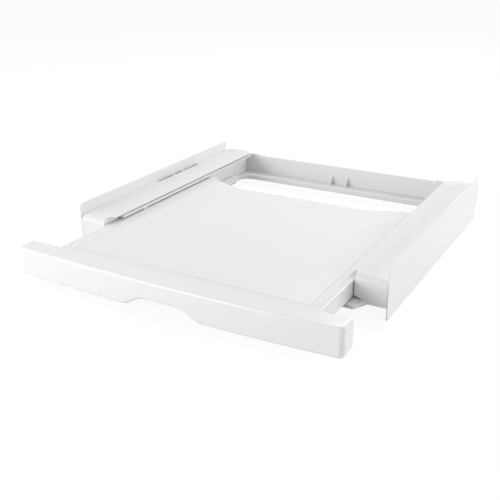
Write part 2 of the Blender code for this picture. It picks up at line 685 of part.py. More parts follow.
def upper_guide(kit, side, label):
    """Guide strip under the lip, which keeps the shelf from tipping, with the stop that ends its travel."""
    body = side_block(
        side,
        (GUIDE_INNER_X, GUIDE_OUTER_X),
        (GUIDE_FRONT_Y, GUIDE_BACK_Y),
        (GUIDE_BOTTOM_Z, GUIDE_TOP_Z),
    )
    stop_front = FRONT_Y + STOP_SETBACK
    stop = side_block(
        side,
        (GUIDE_INNER_X, GUIDE_INNER_X + STOP_WIDTH),
        (stop_front, stop_front + STOP_LENGTH),
        (TRAY_TOP_Z + SEAT_GAP, GUIDE_BOTTOM_Z + CUT_OVERRUN),
    )
    cuts = []
    for y in guide_screw_places():
        start = (side * (GUIDE_OUTER_X + CUT_OVERRUN), y, (GUIDE_TOP_Z + GUIDE_BOTTOM_Z) / 2)
        cuts.append(rod(start, (-side, 0, 0), GUIDE_SCREW_LENGTH, SCREW_HOLE_DIAMETER))
    kit.piece(f"upper_guide_{label}", body, GLIDE_PLASTIC, kit.frame, cuts=cuts, joins=[stop])


def lower_glide(kit, side, label):
    """Low-friction strip on the foot rail, under the side wall of the shelf."""
    outer = BEAM_INNER_X - SEAT_GAP
    body = side_block(
        side,
        (outer - GLIDE_WIDTH, outer),
        (FRONT_Y + TONGUE_LENGTH + SEAT_GAP, FOOT_RAIL_BACK_Y),
        (FOOT_RAIL_TOP_Z + SEAT_GAP, GLIDE_TOP_Z),
    )
    kit.piece(f"lower_glide_{label}", body, GLIDE_PLASTIC, kit.frame)


def foot_pad(kit, side, label, place):
    """Foam rubber pad stuck under a foot rail."""
    start = FOOT_RAIL_FRONT_Y + PAD_END_MARGIN
    if place == "rear":
        start = FOOT_RAIL_BACK_Y - PAD_END_MARGIN - PAD_LENGTH
    top = FOOT_RAIL_BOTTOM_Z - SEAT_GAP
    body = side_block(
        side,
        (FOOT_RAIL_INNER_X + PAD_EDGE_MARGIN, FOOT_RAIL_OUTER_X - PAD_EDGE_MARGIN),
        (start, start + PAD_LENGTH),
        (top - PAD_THICKNESS, top),
    )
    kit.piece(f"foot_pad_{place}_{label}", body, GREY_FOAM, kit.frame)


def screw_mesh(length):
    """A pan head screw with its head seated on Z = 0 and its shank below, with a round driver recess."""
    head = SCREW_HEAD_DIAMETER / 2
    shank = SCREW_SHANK_DIAMETER / 2
    recess = SCREW_RECESS_DIAMETER / 2
    crown = SCREW_HEAD_HEIGHT
    return turned(
        [
            (0, crown - SCREW_RECESS_DEPTH),
            (recess, crown - SCREW_RECESS_DEPTH),
            (recess, crown),
            ((head + recess) / 2, crown),
            (head, crown / 2),
            (head, SEAT_GAP),
            (shank, SEAT_GAP),
            (shank, shank - length),
            (0, -length),
        ],
        closed=False,
    )


def panel_fixings(kit, side, label):
    """Threaded standoffs between the steel panel and the beam, and the screws that clamp them."""
    inner = BEAM_WALL_OUTER_X + SEAT_GAP
    height = PANEL_INNER_X - SEAT_GAP - inner
    radius = STANDOFF_DIAMETER / 2
    bore = SCREW_HOLE_DIAMETER / 2
    ring = turned([(radius, height), (radius, 0), (bore, 0), (bore, height)], closed=True)
    names = [f"panel_standoff_{label}_{place}" for place in ("front", "middle", "rear")]
    points = [(side * inner, y, STANDOFF_Z) for y in panel_screw_places()]
    kit.fasteners(names, ring, kit.frame, points, (side, 0, 0))
    seat = side * (BEAM_WALL_OUTER_X - WALL)
    names = [f"panel_screw_{label}_{place}" for place in ("front", "middle", "rear")]
    points = [(seat, y, STANDOFF_Z) for y in panel_screw_places()]
    kit.fasteners(names, screw_mesh(PANEL_SCREW_LENGTH), kit.frame, points, (-side, 0, 0))


def guide_screws(kit, side, label):
    """Screws from the hollow of the beam into the upper guide."""
    seat = side * (BEAM_INNER_X + WALL)
    z = (GUIDE_TOP_Z + GUIDE_BOTTOM_Z) / 2
    names = [f"guide_screw_{label}_{place}" for place in ("front", "middle", "rear")]
    points = [(seat, y, z) for y in guide_screw_places()]
    kit.fasteners(names, screw_mesh(GUIDE_SCREW_LENGTH), kit.frame, points, (side, 0, 0))


def crossbar_screws(kit, side, label):
    """Screws from below through the crossbar's tab into the screw block of the beam."""
    names = [f"crossbar_screw_{label}_{place}" for place in ("front", "rear")]
    points = [(side * CROSSBAR_SCREW_X, y, FOOT_RAIL_BOTTOM_Z) for y in crossbar_screw_places()]
    kit.fasteners(names, screw_mesh(CROSSBAR_SCREW_LENGTH), kit.frame, points, (0, 0, -1))


def back_edge(half_width, forward):
    """Points of the shelf's rear edge from left to right: flat in the middle and swept back to both horns."""
    flat = half_width * BACK_EDGE_FLAT_SHARE
    reach = HORN_Y - BACK_EDGE_Y
    points = []
    for step in range(SWEEP_STEPS + 1):
        share = step / SWEEP_STEPS
        x = flat + (half_width - flat) * share
        y = BACK_EDGE_Y + reach * share**2 * (3 - 2 * share)
        points.append((x, y - forward))
    return [(-x, y) for x, y in reversed(points)] + points


def shelf_tray(kit):
    """Moulded tray of the shelf: rim, side walls, front wall, board ledge and cross ribs, open underneath."""
    corner = TRAY_CORNER_RADIUS
    body = prism(
        filleted(
            [
                (-TRAY_SIDE_X, TRAY_FRONT_Y, 0),
                (TRAY_SIDE_X, TRAY_FRONT_Y, 0),
                (TRAY_SIDE_X, TRAY_BACK_Y, corner),
                (-TRAY_SIDE_X, TRAY_BACK_Y, corner),
            ]
        ),
        "Z",
        TRAY_BOTTOM_Z,
        TRAY_TOP_Z,
    )
    far = TRAY_BACK_Y + CUT_OVERRUN
    under = TRAY_BOTTOM_Z - CUT_OVERRUN
    over = TRAY_TOP_Z + CUT_OVERRUN
    ledge_under = RECESS_FLOOR_Z - SHELF_LEDGE_THICKNESS
    inner_front = TRAY_FRONT_Y + WALL
    hollow = block(
        (-RECESS_X, inner_front, under),
        (RECESS_X, BACK_EDGE_Y - WALL, ledge_under),
    )
    recess = prism(
        [(-RECESS_X, RECESS_FRONT_Y), (RECESS_X, RECESS_FRONT_Y), (RECESS_X, far), (-RECESS_X, far)],
        "Z",
        RECESS_FLOOR_Z,
        over,
    )
    edge = back_edge(RECESS_X, 0)
    behind = prism(
        [*edge, (edge[-1][0], far), (edge[0][0], far)],
        "Z",
        under,
        over,
    )
    cuts = [hollow, recess, behind]
    window_x = RECESS_X - SHELF_LEDGE_WIDTH
    window_front = RECESS_FRONT_Y + SHELF_LEDGE_WIDTH
    window_back = BACK_EDGE_Y - SHELF_LEDGE_WIDTH
    ribs = [window_front + (window_back - window_front) * share for share in TRAY_RIB_SHARES]
    starts = [window_front] + [rib + TRAY_RIB_WIDTH / 2 for rib in ribs]
    ends = [rib - TRAY_RIB_WIDTH / 2 for rib in ribs] + [window_back]
    window_low = ledge_under - CUT_OVERRUN
    window_high = RECESS_FLOOR_Z + CUT_OVERRUN
    for start, end in zip(starts, ends):
        cuts.append(block((-window_x, start, window_low), (window_x, end, window_high)))
    for side in (-1, 1):
        cuts.append(
            side_block(
                side,
                (RECESS_X + RECESS_WALL, TRAY_SIDE_X - WALL),
                (inner_front, TRAY_BACK_Y - WALL),
                (TRAY_BOTTOM_Z + TRAY_FOOT_THICKNESS, TRAY_TOP_Z - RIM_THICKNESS),
            )
        )
        cuts.append(
            side_block(
                side,
                (RECESS_X + RECESS_WALL, TRAY_SIDE_X - TRAY_FOOT_WIDTH),
                (inner_front, TRAY_BACK_Y - WALL),
                (under, TRAY_BOTTOM_Z + TRAY_FOOT_THICKNESS + CUT_OVERRUN),
            )
        )
    for share in FASCIA_BOSS_SHARES:
        start = (TRAY_SIDE_X * share, TRAY_FRONT_Y - CUT_OVERRUN, FASCIA_SCREW_Z)
        cuts.append(rod(start, (0, 1, 0), WALL + 2 * CUT_OVERRUN, SCREW_HOLE_DIAMETER))
    kit.piece("shelf_tray", body, WHITE_GLOSS, kit.drawer, cuts=cuts)


def shelf_panel(kit):
    """Flat board that lies in the recess of the tray and follows its swept rear edge."""
    half = RECESS_X - SEAT_GAP
    front = RECESS_FRONT_Y + SEAT_GAP
    outline = [(-half, front), *back_edge(half, SEAT_GAP), (half, front)]
    bottom = RECESS_FLOOR_Z + SEAT_GAP
    board = prism(outline, "Z", bottom, bottom + PANEL_BOARD_THICKNESS)
    kit.piece("shelf_panel", board, WHITE_BOARD, kit.drawer)


def rear_shoe(kit, side, label):
    """Sliding shoe on the rim's rear end, which runs under the upper guide and meets its stop."""
    inner = GUIDE_INNER_X + SEAT_GAP
    back = TRAY_BACK_Y - SHOE_END_MARGIN
    body = side_block(
        side,
        (inner, inner + SHOE_WIDTH),
        (back - SHOE_LENGTH, back),
        (TRAY_TOP_Z + SEAT_GAP, GUIDE_BOTTOM_Z - SEAT_GAP),
    )
    kit.piece(f"rear_shoe_{label}", body, GLIDE_PLASTIC, kit.drawer)


def fascia_outline(inset, back):
    """Plan of the fascia, drawn in by an inset: a straight back, rounded corners and a bowed front."""
    half = FASCIA_HALF_WIDTH - inset
    radius = FASCIA_FRONT_CORNER_RADIUS - inset
    span = FASCIA_HALF_WIDTH - FASCIA_FRONT_CORNER_RADIUS
    end_y = FASCIA_FRONT_Y + FASCIA_BOW + inset
    points = [(half, back), (-half, back)]
    for step in range(CORNER_STEPS):
        angle = math.pi + math.pi / 2 * step / CORNER_STEPS
        points.append((-span + radius * math.cos(angle), end_y + radius + radius * math.sin(angle)))
    for step in range(BOW_STEPS + 1):
        x = span * (2 * step / BOW_STEPS - 1)
        points.append((x, end_y - FASCIA_BOW * (1 - (x / span) ** 2)))
    for step in range(1, CORNER_STEPS + 1):
        angle = -math.pi / 2 + math.pi / 2 * step / CORNER_STEPS
        points.append((span + radius * math.cos(angle), end_y + radius + radius * math.sin(angle)))
    return points


def rise_underside(mesh, underside):
    """Tilts the lower face of the fascia, so that it rises towards the back, and leaves the rest as it is."""
    for vertex in mesh.vertices:
        if abs(vertex.co.z - underside) < MERGE_DISTANCE:
            vertex.co.z += FASCIA_UNDERSIDE_RISE * (vertex.co.y - FASCIA_FRONT_Y) / FASCIA_DEPTH
    return mesh


def weigh_edges(mesh, radius, back_radius, back):
    """Marks the edges round a mesh's ends for a Bevel: full weight, but less in its back plane."""
    work = bmesh.new()
    work.from_mesh(mesh)
    layer = work.edges.layers.float.new("bevel_weight_edge")
    for edge in work.edges:
        first, last = (vertex.co for vertex in edge.verts)
        run = math.hypot(first.x - last.x, first.y - last.y)
        level = abs(first.z - last.z) < run
        at_back = min(first.y, last.y) > back - MERGE_DISTANCE
        if level:
            edge[layer] = back_radius / radius if at_back else 1
    work.to_mesh(mesh)
    work.free()


def grip_outline(wall, front, back):
    """The finger grip's form: its cutter, or with a wall the pocket that lines it."""
    low = FASCIA_BOTTOM_Z + (FASCIA_UNDERSIDE_RISE + WALL / 2 if wall else -CUT_OVERRUN)
    top = FASCIA_BOTTOM_Z + GRIP_HEIGHT
    slope = (GRIP_BOTTOM_WIDTH - GRIP_TOP_WIDTH) / 2 / GRIP_HEIGHT
    side_wall = wall * math.sqrt(1 + slope**2)
    low_half = GRIP_TOP_WIDTH / 2 + slope * (top - low) + side_wall
    high_half = GRIP_TOP_WIDTH / 2 - slope * wall + side_wall
    radius = GRIP_TOP_RADIUS + wall
    corners = [
        (-low_half, low, 0),
        (low_half, low, 0),
        (high_half, top + wall, radius),
        (-high_half, top + wall, radius),
    ]
    return prism(filleted(corners), "Y", front, back)


def drawer_fascia(kit):
    """Bowed front of the shelf: a shell open at the back, with a finger grip and screw bosses."""
    mesh = prism(fascia_outline(0, FASCIA_BACK_Y), "Z", FASCIA_BOTTOM_Z, FASCIA_TOP_Z)
    rise_underside(mesh, FASCIA_BOTTOM_Z)
    weigh_edges(mesh, FASCIA_EDGE_RADIUS, FASCIA_BACK_EDGE_RADIUS, FASCIA_BACK_Y)
    item = kit.piece("drawer_fascia", mesh, WHITE_GLOSS, kit.drawer)
    bevel = item.modifiers.new("Edges", "BEVEL")
    bevel.limit_method = "WEIGHT"
    bevel.width = FASCIA_EDGE_RADIUS
    bevel.segments = EDGE_STEPS
    hollow = prism(
        fascia_outline(WALL, FASCIA_BACK_Y + CUT_OVERRUN),
        "Z",
        FASCIA_BOTTOM_Z + WALL,
        FASCIA_TOP_Z - WALL,
    )
    rise_underside(hollow, FASCIA_BOTTOM_Z + WALL)
    kit.combine(item, hollow, "DIFFERENCE")
    span = FASCIA_HALF_WIDTH - FASCIA_FRONT_CORNER_RADIUS
    for share in FASCIA_BOSS_SHARES:
        x = TRAY_SIDE_X * share
        depth = FASCIA_DEPTH - SEAT_GAP - FASCIA_BOW * (x / span) ** 2 - WALL / 2
        boss = rod((x, FASCIA_BACK_Y, FASCIA_SCREW_Z), (0, -1, 0), depth, FASCIA_BOSS_DIAMETER)
        kit.combine(item, boss, "UNION")
    inner_front = FASCIA_FRONT_Y + WALL - CUT_OVERRUN
    kit.combine(item, grip_outline(WALL, inner_front, FASCIA_BACK_Y), "UNION")
    front = FASCIA_FRONT_Y - CUT_OVERRUN
    kit.combine(item, grip_outline(0, front, FASCIA_BACK_Y + CUT_OVERRUN), "DIFFERENCE")
    for share in FASCIA_BOSS_SHARES:
        start = (TRAY_SIDE_X * share, FASCIA_BACK_Y + CUT_OVERRUN, FASCIA_SCREW_Z)
        hole = rod(start, (0, -1, 0), FASCIA_SCREW_LENGTH + CUT_OVERRUN, SCREW_HOLE_DIAMETER)
        kit.combine(item, hole, "DIFFERENCE")


def fascia_screws(kit):
    """Screws through the tray's front wall into the bosses of the fascia."""
    seat = TRAY_FRONT_Y + WALL
    names = [f"fascia_screw_{index + 1}" for index in range(len(FASCIA_BOSS_SHARES))]
    points = [(TRAY_SIDE_X * share, seat, FASCIA_SCREW_Z) for share in FASCIA_BOSS_SHARES]
    kit.fasteners(names, screw_mesh(FASCIA_SCREW_LENGTH), kit.drawer, points, (0, 1, 0))


def main():
    clear_scene()
    kit = Kit()
    for side, label in ((-1, "left"), (1, "right")):
        side_panel(kit, side, label)
        side_beam(kit, side, label)
        upper_guide(kit, side, label)
        lower_glide(kit, side, label)
        panel_fixings(kit, side, label)
        guide_screws(kit, side, label)
        crossbar_screws(kit, side, label)
        rear_shoe(kit, side, label)
        for place in ("front", "rear"):
            foot_pad(kit, side, label, place)
    rear_crossbar(kit)
    shelf_tray(kit)
    shelf_panel(kit)
    drawer_fascia(kit)
    fascia_screws(kit)


main()
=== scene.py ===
"""Washer and dryer stacking kit with a pull-out shelf: its visible surfaces, its finishes and a plain studio.

It is laid out as an add-on and run as a script.
"""

import math

import bmesh
import bpy
import numpy as np
from bpy.props import FloatProperty, FloatVectorProperty, PointerProperty
from mathutils import Euler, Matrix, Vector
from mathutils.geometry import tessellate_polygon


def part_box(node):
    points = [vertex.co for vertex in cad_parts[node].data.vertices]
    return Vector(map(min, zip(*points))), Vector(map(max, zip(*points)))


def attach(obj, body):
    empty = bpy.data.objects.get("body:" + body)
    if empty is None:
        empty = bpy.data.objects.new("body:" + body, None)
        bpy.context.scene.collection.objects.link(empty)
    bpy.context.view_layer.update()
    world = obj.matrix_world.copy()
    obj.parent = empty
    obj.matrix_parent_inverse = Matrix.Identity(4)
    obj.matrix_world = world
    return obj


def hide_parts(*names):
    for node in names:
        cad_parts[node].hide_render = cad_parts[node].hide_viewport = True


bl_info = {
    "name": "Washer dryer stacking kit",
    "version": (1, 0, 0),
    "blender": (4, 5, 0),
    "location": "View3D > Sidebar > Stacking kit",
    "description": "Builds the visible pieces, finishes and studio of a stacking kit with a pull-out shelf",
    "category": "Object",
}

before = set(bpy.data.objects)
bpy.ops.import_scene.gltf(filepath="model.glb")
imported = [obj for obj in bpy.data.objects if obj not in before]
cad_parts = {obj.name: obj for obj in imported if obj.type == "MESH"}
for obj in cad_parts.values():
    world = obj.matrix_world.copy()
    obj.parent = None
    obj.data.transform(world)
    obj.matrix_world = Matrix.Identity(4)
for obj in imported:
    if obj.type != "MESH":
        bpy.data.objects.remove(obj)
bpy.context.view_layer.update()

MM = 0.001
SIDES = ("left", "right")
AXIS_ORDER = {"X": (2, 0, 1), "Y": (0, 2, 1), "Z": (0, 1, 2)}

# Steps of curves and limits of meshes
EDGE_STEPS = 5
CORNER_STEPS = 8
BAR_STEPS = 24
BOW_STEPS = 61
GRIP_STEPS = 111
SWEEP_STEPS = 24
BEVEL_SEGMENTS = 3
SHARP_ANGLE = math.radians(32)
FLAT_ANGLE = math.radians(0.5)
MERGE_DISTANCE = 0.00001
PLACE_DIGITS = 5

# Shelf front
HOLLOW_OVERRUN = 2 * MM  # how far its hollow is cut past its back
BOSS_HOLE_OVERRUN = 1 * MM
BOSS_HOLE_DEPTH = 15 * MM
BAR_EDGE = 0.2 * MM
BACK_EDGE_SHARE = 0.2  # rounding of its back edges, as a share of the others'
GRIP_MARGIN = 6 * MM  # fine steps beside the grip
GRIP_MOUTH_BEND = 0.14  # half the bend's length, as a share of the grip's flank
GRIP_TOP_BEND = 0.30
FRONT_SCREWS = 4

# Shelf tray
RIM_CREASE = 0.4 * MM  # radius of its plain corners
RIM_SHOULDER = 2.0 * MM  # radius of its outer upper edge
RIM_INSIDE = 0.6 * MM  # radius under its top
RIM_INNER_EDGE = 0.9 * MM  # radius beside the board
GROOVE_LIP = 0.5 * MM  # radius of the groove's edges
GROOVE_FLANK = 0.8 * MM  # width of the groove's slopes
BEAD_PLACE = 3 * MM  # up to here the front has the section of the sides
TRAY_LAP = 0.5 * MM  # how far the floor reaches into the rim
TRAY_ROUNDING = 0.3 * MM
TRAY_LEDGE = 12 * MM  # floor between the rim and the windows
BOARD_GAP = 0.3 * MM  # from the board's rear edge to the tray's
REAR_WALL = 3 * MM
REAR_DROP = 0.1 * MM  # from the floor's top down to the rear wall's
REAR_ZONE = 50 * MM  # the rear edge lies further than this behind the board's front
SWEEP_SHARE = 0.6  # flat part of the rear edge
WINDOW_CORNER = 6 * MM
WINDOW_SHARES = ((0, 0.345), (0.375, 0.665), (0.695, 1))  # start and end of each along the floor

# Steel sides and glides
SHEET_LOWER_CORNER = 0.5 * MM
SHEET_REAR_CORNER = 1.5 * MM
GLIDE_CORNER = 1 * MM

# Studio
CAMERA_PLACE = (0.6204, -1.1545, 0.5405)
CAMERA_CLIP = (0.05, 50)
SENSOR_WIDTH = 36  # in millimetres
FLOOR_REACH = 14.0
FLOOR_GAP = 0.3 * MM  # under the pads
PAPER_DIM = "#5b5b5b"  # part of the paper's look that a shadow takes away
PAPER_GLOW = 0.92  # part that stays
WHITE = "#ffffff"


def linear(code):
    """Linear colour of an sRGB hex code: c / 12.92 up to 0.04045, else ((c + 0.055) / 1.055) ^ 2.4."""
    parts = [int(code[k : k + 2], 16) / 255 for k in (1, 3, 5)]
    return [c / 12.92 if c <= 0.04045 else ((c + 0.055) / 1.055) ** 2.4 for c in parts] + [1.0]


def colour(name, description, code):
    """A colour property with an sRGB hex code as its default."""
    return FloatVectorProperty(
        name=name, description=description, subtype="COLOR", size=4, min=0, max=1, default=linear(code)
    )


def length(name, description, metres):
    """A length property with its default in metres."""
    return FloatProperty(name=name, description=description, unit="LENGTH", subtype="DISTANCE", default=metres)


def angle(name, description, degrees):
    """An angle property with its default in degrees."""
    return FloatProperty(name=name, description=description, subtype="ANGLE", default=math.radians(degrees))


def power(name, description, watts):
    """A lamp's power property."""
    return FloatProperty(name=name, description=description, unit="POWER", default=watts)


class StackingKitColours(bpy.types.PropertyGroup):
    steel: colour("Steel sides", "Powder coat of the steel side panels", "#ebecec")
    moulding: colour("Frame mouldings", "Polypropylene of the beams and the crossbar", "#e8e8e8")
    gloss: colour("Shelf front and tray", "Gloss ABS of the shelf's front and tray", "#ebecec")
    board: colour("Shelf board", "Satin face of the shelf's board", "#ebebec")
    glide: colour("Guides and glides", "Natural acetal of the guides, glides and shoes", "#e6e6e4")
    zinc: colour("Fixings", "Zinc plate of the screws and standoffs", "#c3c6c8")
    foam: colour("Foot pads", "Closed cell rubber foam of the pads", "#b9b9b7")
    floor: colour("Floor", "Paper floor under the kit, as it lights the kit", "#e3e3e3")


class StackingKitSizes(bpy.types.PropertyGroup):
    """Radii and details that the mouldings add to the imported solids."""

    sheet_edge: length("Sheet edge", "Rounding of the steel sheet's edges under its coat", 0.7 * MM)
    sheet_corner: length("Sheet corner", "Radius of the steel sides' upper front corner", 10 * MM)
    moulding_edge: length("Moulding edge", "Rounding of the beams' and crossbar's edges", 0.5 * MM)
    front_bow: length("Front bow", "How far the shelf's front bows forward", 9 * MM)
    front_corner: length("Front corner", "Radius of the shelf front's upright corners", 9 * MM)
    front_edge: length("Front edge", "Radius of the shelf front's long edges", 4.5 * MM)
    front_wall: length("Front wall", "Wall of the shelf's hollow front", 3 * MM)
    boss: length("Screw boss", "Diameter of the screw bosses in the shelf's front", 9 * MM)
    boss_hole: length("Boss hole", "Diameter of the holes in the screw bosses", 3.7 * MM)
    front_tilt: length("Front underside", "Rise of the front's lower face towards its back", 3 * MM)
    grip_height: length("Grip height", "Height of the finger grip", 17.5 * MM)
    grip_top: length("Grip top", "Width of the finger grip at its top", 74 * MM)
    grip_bottom: length("Grip bottom", "Width of the finger grip at its mouth", 137 * MM)
    rim_width: length("Rim width", "Width of the tray's rim", 22.4 * MM)
    front_rim: length("Front rim", "Width of the tray's rim behind its front", 21.5 * MM)
    rim_wall: length("Tray wall", "Wall of the tray", 2.5 * MM)
    bead_width: length("Bead width", "Width of the bead round the tray's rim", 4.6 * MM)
    groove_width: length("Groove width", "Width of the groove beside the bead", 5 * MM)
    groove_depth: length("Groove depth", "Depth of the groove beside the bead", 1 * MM)
    rim_fall: length("Rim fall", "How far the rim falls from its groove to the board", 0.9 * MM)
    front_groove: length("Front groove", "Distance of the groove from the tray's front wall", 18.6 * MM)
    front_groove_width: length("Front groove width", "Width of the groove in front of the board", 2 * MM)
    recess_depth: length("Recess depth", "Depth of the tray's recess", 4.5 * MM)
    board_edge: length("Board edge", "Rounding of the shelf board's edges", 1.1 * MM)
    glide_edge: length("Glide edge", "Rounding of the guides, glides and shoes", 0.4 * MM)
    pad_corner: length("Pad corner", "Radius of the foot pads' corners", 4 * MM)


class StackingKitStudio(bpy.types.PropertyGroup):
    """Camera and lights of the studio."""

    lens: FloatProperty(name="Lens", description="Focal length on a 36 mm sensor", default=53.83)
    camera_turn: angle("Turn", "Camera's turn about Z", 29.86)
    camera_dip: angle("Dip", "Camera's look down", 22.78)
    camera_roll: angle("Roll", "Camera's roll", -0.43)
    world_light: FloatProperty(name="Surround", description="Strength of the even light", default=0.46)
    low_key: power("Low key", "Softbox in front on the left, a little above the kit", 39)
    high_key: power("High key", "Softbox in front on the left, above the low one", 4)
    side_light: power("Side light", "Softbox on the right, beside the kit's rear half", 9)
    far_side_light: power("Far side light", "Softbox on the right, behind the kit", 19)
    back_light: power("Back light", "Softbox overhead, behind the kit", 28)


# Place, aim, width and height of each softbox, by the name of its power
SOFTBOXES = {
    "low_key": ((-1.5, -2.05, 0.8), (0, -0.1, 0), 1.8, 1.4),
    "high_key": ((-1.5, -2.0, 1.1), (0, -0.1, 0), 1.4, 1.4),
    "side_light": ((2.6, 0.3, 0.8), (0, 0.1, 0), 1.3, 1.3),
    "far_side_light": ((2.5, 1.0, 0.6), (0, 0.1, 0), 1.2, 1.0),
    "back_light": ((0.0, 1.6, 2.1), (0, 0, 0), 1.6, 1.6),
}


def add_node(tree, kind, values=None, **settings):
    """A new node. A value is a number or colour for one of its inputs, or the socket that feeds it."""
    made = tree.nodes.new(kind)
    for name, setting in settings.items():
        setattr(made, name, setting)
    for name, value in (values or {}).items():
        if isinstance(value, bpy.types.NodeSocket):
            tree.links.new(value, made.inputs[name])
        else:
            made.inputs[name].default_value = value
    return made


def new_material(name):
    """An empty material and its tree."""
    material = bpy.data.materials.new(name)
    material.use_nodes = True
    material.node_tree.nodes.clear()
    return material, material.node_tree


def darkened(base, share):
    """A colour at a share of its brightness."""
    return [*(part * share for part in base[:3]), 1.0]


def varied_finish(name, base, darker, sheen, grains, relief=None, **constants):
    """A finish that varies with grains of noise in the piece's own place, each with its size and detail.

    Over the first grain the tone runs from a base to a darker share of it, over the second the roughness runs
    between two values, and a bump of a depth and strength follows the third. Constants go on the shader's own
    inputs.
    """
    material, tree = new_material(name)
    place = add_node(tree, "ShaderNodeTexCoord").outputs["Object"]
    noises = []
    for size, detail in grains:
        noise = {"Vector": place, "Scale": 1 / size, "Detail": detail}
        noises.append(add_node(tree, "ShaderNodeTexNoise", noise).outputs["Fac"])
    tones = {"Factor": noises[0], "A": base, "B": darkened(base, darker)}
    sheens = {"Value": noises[1], "To Min": sheen[0], "To Max": sheen[1]}
    values = {
        "Base Color": add_node(tree, "ShaderNodeMix", tones, data_type="RGBA").outputs["Result"],
        "Roughness": add_node(tree, "ShaderNodeMapRange", sheens).outputs["Result"],
        **constants,
    }
    if relief:
        bump = {"Height": noises[2], "Distance": relief[0], "Strength": relief[1]}
        values["Normal"] = add_node(tree, "ShaderNodeBump", bump).outputs["Normal"]
    shader = add_node(tree, "ShaderNodeBsdfPrincipled", values)
    add_node(tree, "ShaderNodeOutputMaterial", {"Surface": shader.outputs["BSDF"]})
    return material


def powder_coated_steel(colours):
    """Powder coated sheet steel, sprayed and baked: satin, with the faint orange peel of melted powder, whose
    waves are about 2 mm apart."""
    return varied_finish(
        "powder_coated_sheet_steel",
        colours.steel,
        darker=0.975,
        sheen=(0.34, 0.44),
        grains=((70 * MM, 2.0), (9 * MM, 2.0), (2.2 * MM, 1.0)),
        relief=(0.03 * MM, 0.35),
        IOR=1.5,
    )


def moulded_polypropylene(colours):
    """Injection moulded polypropylene from a spark-eroded tool: an even, soft sheen. The tool's grain of a few
    tenths of a millimetre is drawn at 1.1 mm, so that it shows."""
    return varied_finish(
        "moulded_polypropylene",
        colours.moulding,
        darker=0.97,
        sheen=(0.44, 0.54),
        grains=((45 * MM, 2.0), (14 * MM, 2.0), (1.1 * MM, 3.0)),
        relief=(0.02 * MM, 0.3),
        IOR=1.49,
    )


def gloss_abs(colours):
    """Gloss ABS from a polished tool: clear highlights that waver a little over the sinks behind its ribs,
    which are about 26 mm apart."""
    return varied_finish(
        "gloss_moulded_abs",
        colours.gloss,
        darker=0.98,
        sheen=(0.13, 0.19),
        grains=((80 * MM, 2.0), (6 * MM, 2.0), (26 * MM, 0.0)),
        relief=(0.12 * MM, 0.25),
        IOR=1.53,
    )


def satin_board(colours):
    """Melamine faced board, pressed against a satin plate: matt from near, with a sheen at low angles. The
    plate's texture of a few tenths of a millimetre is drawn at 1.6 mm, so that it shows."""
    return varied_finish(
        "melamine_faced_board",
        colours.board,
        darker=0.975,
        sheen=(0.36, 0.44),
        grains=((120 * MM, 2.0), (20 * MM, 2.0), (1.6 * MM, 2.0)),
        relief=(0.02 * MM, 0.3),
        IOR=1.5,
    )


def natural_acetal(colours):
    """Natural acetal, moulded: a slippery, faintly warm white with a soft sheen."""
    return varied_finish(
        "natural_acetal",
        colours.glide,
        darker=0.95,
        sheen=(0.28, 0.38),
        grains=((18 * MM, 2.0), (5 * MM, 2.0)),
        IOR=1.48,
    )


def zinc_plated_steel(colours):
    """Zinc plated and passivated steel: a cool metal with cloudy patches from the plating bath."""
    return varied_finish(
        "zinc_plated_steel",
        colours.zinc,
        darker=0.82,
        sheen=(0.28, 0.45),
        grains=((1.5 * MM, 3.0), (0.8 * MM, 2.0)),
        Metallic=1.0,
    )


def foam_rubber(colours):
    """Closed cell EPDM foam, cut from sheet: matt, with open pores on its cut faces, whose shade is painted
    into its colour.
    """
    # The colour darkens towards each cell's edge, over the same pattern as the pores' bump: painted shade of
    # the pores.
    cell, pore_depth, pore_painted_shade = 1.2 * MM, 0.3 * MM, 0.6
    material, tree = new_material("foam_rubber")
    place = add_node(tree, "ShaderNodeTexCoord").outputs["Object"]
    pattern = add_node(tree, "ShaderNodeTexVoronoi", {"Vector": place, "Scale": 1 / cell})
    cells = pattern.outputs["Distance"]
    tones = {"Factor": cells, "A": colours.foam, "B": darkened(colours.foam, pore_painted_shade)}
    pores = {"Height": cells, "Distance": pore_depth, "Strength": 0.6}
    values = {
        "Base Color": add_node(tree, "ShaderNodeMix", tones, data_type="RGBA").outputs["Result"],
        "Roughness": 0.92,
        "Normal": add_node(tree, "ShaderNodeBump", pores).outputs["Normal"],
    }
    shader = add_node(tree, "ShaderNodeBsdfPrincipled", values)
    add_node(tree, "ShaderNodeOutputMaterial", {"Surface": shader.outputs["BSDF"]})
    return material


FINISHES = {
    "powder_coated_steel": powder_coated_steel,
    "white_moulding": moulded_polypropylene,
    "white_gloss_plastic": gloss_abs,
    "white_board": satin_board,
    "glide_plastic": natural_acetal,
    "zinc_steel": zinc_plated_steel,
    "foam_rubber": foam_rubber,
}
made_finishes = {}


def finish_of(slot):
    """The material of one of the record's slots, made once."""
    if slot not in made_finishes:
        made_finishes[slot] = FINISHES[slot](bpy.context.scene.stacking_kit_colours)
    return made_finishes[slot]


def cleaned(mesh, flat_angle=0):
    """Merges a mesh's doubles, joins its faces up to a flat angle, if there is one, and points them out."""
    work = bmesh.new()
    work.from_mesh(mesh)
    bmesh.ops.remove_doubles(work, verts=work.verts, dist=MERGE_DISTANCE)
    if flat_angle:
        bmesh.ops.dissolve_limit(work, angle_limit=flat_angle, verts=work.verts, edges=work.edges)
    bmesh.ops.recalc_face_normals(work, faces=work.faces)
    work.to_mesh(mesh)
    work.free()
    return mesh


def mesh_from(name, points, faces):
    """A cleaned mesh from point and face arrays."""
    mesh = bpy.data.meshes.new(name)
    mesh.from_pydata(np.reshape(points, (-1, 3)).tolist(), [], faces)
    return cleaned(mesh)


def softened_copy(node):
    """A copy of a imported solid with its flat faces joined, ready for rounded edges."""
    return cleaned(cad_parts[node].data.copy(), FLAT_ANGLE)


